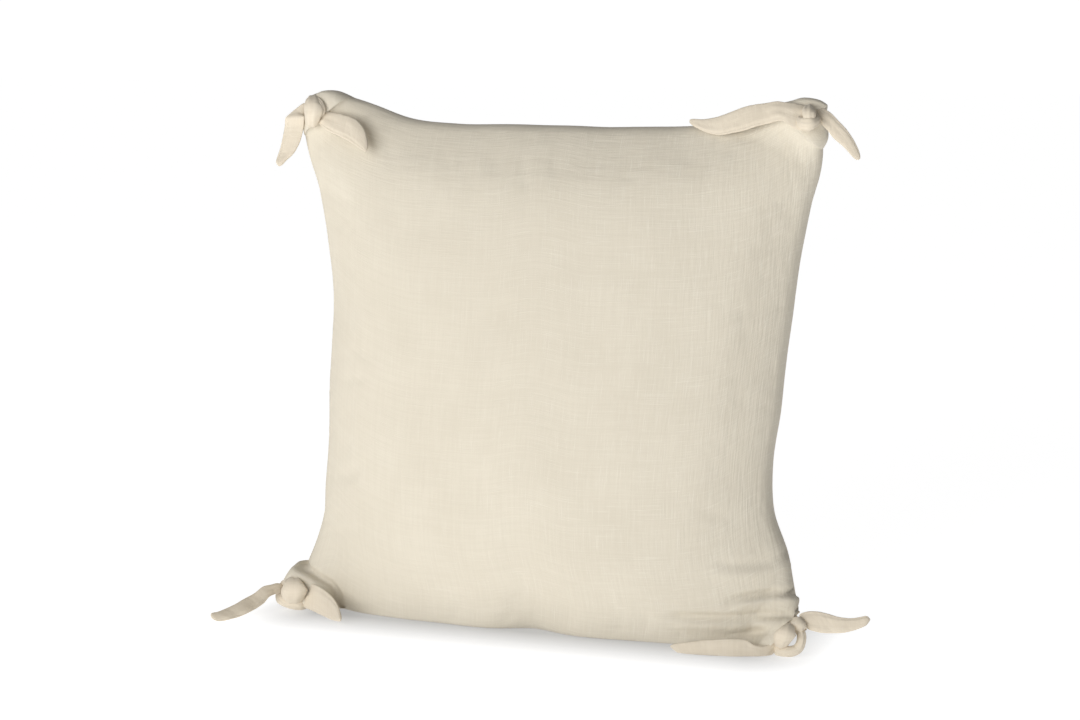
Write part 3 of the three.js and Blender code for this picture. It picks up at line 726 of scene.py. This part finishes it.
def gather_hoods(grid, side):
    """Draws each corner of one side of the cover out into its hood. The grid is changed in place."""
    left, right, bottom, top = grid[:, :1, 0], grid[:, -1:, 0], grid[1:2, :, 2], grid[-1:, :, 2]
    from_side = {"left": grid[..., 0] - left, "right": right - grid[..., 0]}
    from_end = {"top": top - grid[..., 2], "bottom": np.maximum(grid[..., 2] - bottom, 0)}
    moved = grid.copy()
    for name, rows in HOODS.items():
        end, hand = name.split("_")
        inward, upward = from_side[hand], from_end[end]
        depth = np.maximum((inward + upward) / math.sqrt(2), 1e-6)
        near = np.clip(1 - depth / HOOD_REACH[name], -1, 1)
        across = np.clip((inward - upward) / math.sqrt(2) / depth, -1, 1)
        rows = np.array(rows, float) * MM
        place = np.clip((near - HOOD_START) / (1 - HOOD_START), 0, 1)
        one, other = curve_through(rows[:, :3], place), curve_through(rows[:, 3:6], place)
        thick = curve_through(rows[:, 6], place)
        if end == "top":
            one, other = other, one
        round_off = np.sqrt(np.maximum(1 - np.abs(across) ** HOOD_FLATNESS, 0))
        pleats = 1 + 0.07 * smooth(near, 0.45, 0.85) * np.cos(9 * across + rows[0, 0] / MM)
        middle, reach = (one + other) / 2, (other - one) / 2
        hood = middle + reach * across[..., None]
        hood[..., 1] += side * thick * round_off * pleats
        weight = smooth(near, -0.3, 0.5)[..., None]
        moved += weight * (hood - grid)
    grid[:] = moved


def press_creases(points):
    """How far the creases push each point in (below 0) or out, by its place as seen from the front."""
    push = np.zeros(len(points))
    flat = points[:, [0, 2]] / MM
    for line, depth, width, height, roll in CREASES:
        line = curve_through(np.array(line, float), np.linspace(0, 1, CREASE_STEPS))
        gaps = flat[:, None] - line[None]
        nearest = np.argmin((gaps**2).sum(-1), axis=1)
        nearest_gaps = gaps[np.arange(len(flat)), nearest]
        gap = nearest_gaps @ unit(roll)
        apart = np.linalg.norm(nearest_gaps, axis=1)
        t = nearest / (CREASE_STEPS - 1)
        taper = smooth(t, -0.1, 0.3) * smooth(1 - t, -0.1, 0.2)
        beyond = np.exp(-((np.maximum(apart - np.abs(gap), 0) / width) ** 2))
        valley = depth * np.exp(-((gap / width) ** 2))
        ridge = height * np.exp(-(((gap - 2.3 * width) / (1.5 * width)) ** 2))
        push += taper * beyond * (ridge - valley) * MM
    return push


def outward_of(grid, side):
    """The way out of the cushion at each point of one side."""
    along, up = np.gradient(grid, axis=1), np.gradient(grid, axis=0)
    return unit(np.cross(along, up)).reshape(-1, 3) * -side


def layer(cells, inset, floor, cloth_moves):
    """(points, faces) of a layer of the cushion with its creases, unevenness and, on the cover, its hoods."""
    points, faces = closed_form(cells, inset, floor)
    rows = len(form(cells, inset, floor, -1))
    count = rows * (cells + 1)
    is_cover = inset == 0
    for first, side in ((0, -1), (count, 1)):
        grid = points[first:first + count].reshape(rows, cells + 1, 3)
        flat = grid.reshape(-1, 3)
        push = wander(flat, 130 * MM, 3) * 1.6 * MM + wander(flat, 45 * MM, 5) * 0.5 * MM
        from_edge = np.minimum(flat[:, 0] - LEFT, RIGHT - flat[:, 0])
        push = push * smooth(from_edge, 0, 12 * MM) * smooth(flat[:, 2], 4 * MM, 20 * MM)
        flat += outward_of(grid, side) * push[:, None]
        if cloth_moves:
            flat += cloth_moves(flat)
        if is_cover:
            gather_hoods(grid, side)
        else:
            blunt_corners(flat)
        if side == -1:
            flat += outward_of(grid, side) * press_creases(flat)[:, None]
    points[:, 2] = np.maximum(points[:, 2], floor)
    return points, faces


def blunt_corners(flat):
    """Draws the corners of an inner layer in, clear of the hoods."""
    middle = np.array([(LEFT + RIGHT) / 2, TOP_SEAM_Y, TOP / 2])
    for x in (LEFT, RIGHT):
        for z in (0, TOP):
            gap = np.hypot(flat[:, 0] - x, flat[:, 2] - z)
            weight = 0.32 * np.exp(-((gap / (75 * MM)) ** 2))[:, None]
            flat += weight * (middle - flat) * (1, 0.8, 1)


SWELL_LIMIT = 2.6 * MM
SWELL_FRAMES = 20


def swell(points, faces, seam_points):
    """Blows up a copy of the cover as cloth, held at its seam and base. Gives a way to read its moves."""
    copy, _ = make_mesh("swelling", points, faces, COVER)
    remesh = copy.modifiers.new("Remesh", "REMESH")
    remesh.mode = "VOXEL"
    remesh.voxel_size = 6 * MM
    graph = bpy.context.evaluated_depsgraph_get()
    cloth_mesh = bpy.data.meshes.new_from_object(copy.evaluated_get(graph))
    cloth = bpy.data.objects.new("swelling_cloth", cloth_mesh)
    bpy.context.scene.collection.objects.link(cloth)
    before = read_points(cloth_mesh)
    held = cloth.vertex_groups.new(name="held")
    seam_line = tree_of(seam_points)
    for i, p in enumerate(before):
        gap = seam_line.find(p)[2]
        weight = max(1 - smooth(gap, 6 * MM, 30 * MM), 1 - smooth(p[2], 2 * MM, 14 * MM))
        if weight > 0:
            held.add([i], float(weight), "REPLACE")
    modifier = cloth.modifiers.new("Cloth", "CLOTH")
    settings = modifier.settings
    settings.quality = 5
    settings.mass = 0.25
    settings.tension_stiffness = settings.compression_stiffness = 25
    settings.shear_stiffness = 12
    settings.bending_stiffness = 0.6
    settings.use_pressure = True
    settings.uniform_pressure_force = 4
    settings.vertex_group_mass = "held"
    settings.effector_weights.gravity = 0
    settings.shrink_min = -0.006
    modifier.collision_settings.use_collision = False
    modifier.point_cache.frame_start, modifier.point_cache.frame_end = 1, SWELL_FRAMES
    for frame_number in range(1, SWELL_FRAMES + 1):
        bpy.context.scene.frame_set(frame_number)
    graph = bpy.context.evaluated_depsgraph_get()
    moves = read_points(cloth.evaluated_get(graph).to_mesh()) - before
    bpy.context.scene.frame_set(1)
    for obj in (copy, cloth):
        bpy.data.objects.remove(obj)
    size = np.linalg.norm(moves, axis=1, keepdims=True)
    moves *= np.tanh(size / SWELL_LIMIT) * SWELL_LIMIT / np.maximum(size, 1e-9)
    tree = tree_of(before)

    def read_moves(places):
        found = [tree.find_n(p, 5) for p in places]
        ids = np.array([[n[1] for n in row] for row in found])
        closeness = 1 / (np.array([[n[2] for n in row] for row in found]) + 1 * MM) ** 2
        return np.einsum("ij,ijk->ik", closeness / closeness.sum(1, keepdims=True), moves[ids])

    return read_moves


def tree_of(points):
    """A search tree over points."""
    tree = kdtree.KDTree(len(points))
    for i, p in enumerate(points):
        tree.insert(p, i)
    tree.balance()
    return tree


def cloth_places(grid):
    """How far each point of a grid is from its middle along its row and up its column, on the cloth."""
    rows, columns = grid.shape[:2]
    along_row = np.linalg.norm(np.diff(grid, axis=1), axis=2)
    up_column = np.linalg.norm(np.diff(grid, axis=0), axis=2)
    x = np.concatenate([np.zeros((rows, 1)), np.cumsum(along_row, axis=1)], 1)
    y = np.concatenate([np.zeros((1, columns)), np.cumsum(up_column, axis=0)], 0)
    x -= x[:, columns // 2][:, None]
    y -= y[rows // 2][None, :]
    from_side = np.minimum(x - x[:, :1], x[:, -1:] - x)
    from_end = np.minimum(y - y[:1], y[-1:] - y)
    return np.stack([x, y, np.minimum(from_side, from_end)], -1)


def make_cover(points, faces):
    """The sewn cover: a closed form with a seam round its edge."""
    obj, used = make_mesh("cushion_cover", points, faces, COVER)
    count = (COVER_CELLS + 1) ** 2 + COVER_CELLS + 1
    rows = count // (COVER_CELLS + 1)
    grain = np.zeros((len(points), 3))
    plain, _ = closed_form(COVER_CELLS, 0.0, 0.0)
    for first in (0, count):
        grid = plain[first:first + count].reshape(rows, COVER_CELLS + 1, 3)
        grain[first:first + count] = cloth_places(grid).reshape(-1, 3)
    set_grain(obj.data, grain[used])
    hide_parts("cover_front_panel", "cover_back_panel")
    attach(obj, "cushion")


cloth_moves = None
plain_points, plain_faces = closed_form(SWELL_CELLS, 0.0, 0.0)
seam_rows = form(SWELL_CELLS, 0.0, 0.0, -1)
seam_points = np.concatenate([seam_rows[:, 0], seam_rows[:, -1], seam_rows[-1]])
cloth_moves = swell(plain_points, plain_faces, seam_points)
make_cover(*layer(COVER_CELLS, 0.0, 0.0, cloth_moves))

for inner_name, nodes, inset, floor, material, slot in (
    ("inner_case", ("inner_case_front", "inner_case_back"), CASE_INSET, CASE_FLOOR, CASE, "inner_cloth"),
    ("filling", ("fibre_filling",), FILL_INSET, FILL_FLOOR, FIBRE, "fibre"),
):
    inner, _ = make_mesh(inner_name, *layer(INNER_CELLS, inset, floor, cloth_moves), material)
    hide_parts(*nodes)
    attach(inner, "cushion")

for seed, name in enumerate(STRANDS):
    make_tie(name, seed + 1)

COIL_WIRE, COIL_PITCH, COIL_STEPS, COIL_SIDES = 0.34 * MM, 1.7 * MM, 12, 6


def coil(node_name):
    """The zip's nylon coil: a fine spiral that fills the plain bar it stands for."""
    low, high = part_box(node_name)
    middle, half = (low + high) / 2, (high - low) / 2
    turns = round(2 * (half.x - COIL_WIRE) / COIL_PITCH)
    turn = np.linspace(0, 2 * math.pi * turns, turns * COIL_STEPS + 1)
    x = np.linspace(low.x + COIL_WIRE, high.x - COIL_WIRE, len(turn))
    out = np.stack([np.zeros_like(turn), np.cos(turn), np.sin(turn)], -1)
    spiral = np.stack([x, np.full_like(x, middle.y), np.full_like(x, middle.z)], -1)
    spiral += out * (0, half.y - COIL_WIRE, half.z - COIL_WIRE)
    around = np.linspace(0, 2 * math.pi, COIL_SIDES, endpoint=False)
    points = spiral[:, None] + COIL_WIRE * (
        np.cos(around)[None, :, None] * out[:, None] + np.sin(around)[None, :, None] * np.array([1.0, 0, 0])
    )
    ids = np.arange(points.shape[0] * COIL_SIDES).reshape(-1, COIL_SIDES)
    obj, _ = make_mesh(node_name.replace("coil", "spiral"), points.reshape(-1, 3), tube_faces(ids), NYLON)
    fix_facing(obj)
    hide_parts(node_name)
    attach(obj, "cushion")


coil("zip_coil_front")
coil("zip_coil_back")

for node_name, material in (
    ("zip_tape_front", TAPE), ("zip_tape_back", TAPE), ("zip_closed_stop", METAL),
    ("zip_open_stop", METAL), ("zip_slider", METAL), ("zip_pull_tab", METAL),
):
    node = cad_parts[node_name]
    node.data.materials.clear()
    node.data.materials.append(material)
    if material is METAL:
        bevel = node.modifiers.new("Bevel", "BEVEL")
        bevel.width = 0.2 * MM
        bevel.segments = 2

# ---- Floor, light and camera ----


def plane(name, width, depth, location, material):
    """A flat rectangle."""
    mesh = bpy.data.meshes.new(name)
    x, y = width / 2, depth / 2
    mesh.from_pydata([(-x, -y, 0), (x, -y, 0), (x, y, 0), (-x, y, 0)], [], [(0, 1, 2, 3)])
    mesh.materials.append(material)
    obj = bpy.data.objects.new(name, mesh)
    obj.location = location
    bpy.context.scene.collection.objects.link(obj)
    return obj


def aim(obj, location, target):
    """Places a light or a camera and points it at a target."""
    obj.location = location
    obj.rotation_euler = (Vector(target) - Vector(location)).to_track_quat("-Z", "Y").to_euler()
    bpy.context.scene.collection.objects.link(obj)


def area_light(name, location, target, size, power):
    """A round soft light."""
    light = bpy.data.lights.new(name, "AREA")
    light.shape = "DISK"
    light.size = size
    light.energy = power
    aim(bpy.data.objects.new(name, light), location, target)


# The floor glows evenly, and less near the cushion: a painted contact shadow under its footprint and a margin
# beyond it.
FOOTPRINT_HALF = (0.25, 0.05)
SHADOW_MARGIN, SHADOW_GLOW, FLOOR_GLOW = 0.085, 0.33, 0.92

floor_shader = Shader("floor", 0.8, Specular_IOR_Level=0.1, Emission_Color=(1, 1, 1, 1))
floor_tone = floor_shader.noise(floor_shader.add("ShaderNodeTexCoord").outputs["Object"], 3.0)
floor_colour = floor_shader.mix(floor_tone, (0.36, 0.36, 0.36, 1), (0.34, 0.34, 0.34, 1))
floor_place = floor_shader.add("ShaderNodeTexCoord").outputs["Object"]
floor_axes = floor_shader.add("ShaderNodeSeparateXYZ", {0: floor_place}).outputs
from_middle = [floor_shader.math("ABSOLUTE", axis) for axis in (floor_axes[0], floor_axes[1])]
beyond = [
    floor_shader.math("MAXIMUM", floor_shader.math("SUBTRACT", gap, half), 0.0)
    for gap, half in zip(from_middle, FOOTPRINT_HALF)
]
footprint_gap = floor_shader.math("SQRT", floor_shader.math(
    "ADD", floor_shader.math("POWER", beyond[0], 2.0), floor_shader.math("POWER", beyond[1], 2.0)
))
# Emission strength: even far out, lower near the footprint as a painted contact shadow.
floor_glow_and_painted_shadow = floor_shader.between(footprint_gap, 0.0, SHADOW_MARGIN, SHADOW_GLOW, FLOOR_GLOW)
floor_shader.feed(floor_shader.principled.inputs["Emission Strength"], floor_glow_and_painted_shadow)
plane("floor", 40, 40, (0, 0, -0.5 * MM), floor_shader.finish(floor_colour))

# A soft studio, brighter on the left, seen as plain white.
STUDIO_LEFT, STUDIO_RIGHT, STUDIO_SEEN = 0.34, 0.08, 1.05

world = bpy.data.worlds.new("studio")
world.use_nodes = True
background = world.node_tree.nodes["Background"]
background.inputs["Color"].default_value = (1, 1, 1, 1)
way = world.node_tree.nodes.new("ShaderNodeTexCoord").outputs["Generated"]
split = world.node_tree.nodes.new("ShaderNodeSeparateXYZ")
world.node_tree.links.new(way, split.inputs[0])
from_left = world.node_tree.nodes.new("ShaderNodeMapRange")
world.node_tree.links.new(split.outputs[0], from_left.inputs["Value"])
studio_range = {"From Min": -1.0, "From Max": 1.0, "To Min": STUDIO_LEFT, "To Max": STUDIO_RIGHT}
for socket, value in studio_range.items():
    from_left.inputs[socket].default_value = value
seen = world.node_tree.nodes.new("ShaderNodeLightPath").outputs["Is Camera Ray"]
strength = world.node_tree.nodes.new("ShaderNodeMapRange")
world.node_tree.links.new(seen, strength.inputs["Value"])
world.node_tree.links.new(from_left.outputs[0], strength.inputs["To Min"])
strength.inputs["To Max"].default_value = STUDIO_SEEN
world.node_tree.links.new(strength.outputs[0], background.inputs["Strength"])
bpy.context.scene.world = world

KEY_PLACE, KEY_SIZE, KEY_POWER = (-0.75, -2.5, 0.75), 1.9, 45.3
area_light("key", KEY_PLACE, Vector((0, 0, 0.3)), KEY_SIZE, KEY_POWER)

CAMERA_DISTANCE, CAMERA_LENS, CAMERA_SENSOR = 2.5066, 74.975, 36
CAMERA_AZIMUTH, CAMERA_ELEVATION, CAMERA_ROLL = math.radians(18), math.radians(8.6), math.radians(0.34)
camera = bpy.data.objects.new("camera", bpy.data.cameras.new("camera"))
camera.data.lens = CAMERA_LENS
camera.data.sensor_width = CAMERA_SENSOR
target = Vector((0, -0.004, 0.3))
back = Vector((
    math.sin(CAMERA_AZIMUTH) * math.cos(CAMERA_ELEVATION),
    -math.cos(CAMERA_AZIMUTH) * math.cos(CAMERA_ELEVATION),
    math.sin(CAMERA_ELEVATION),
))
aim(camera, target + back * CAMERA_DISTANCE, target)
camera.rotation_euler.rotate_axis("Z", CAMERA_ROLL)
bpy.context.scene.camera = camera
bpy.context.scene.view_settings.view_transform = "Standard"
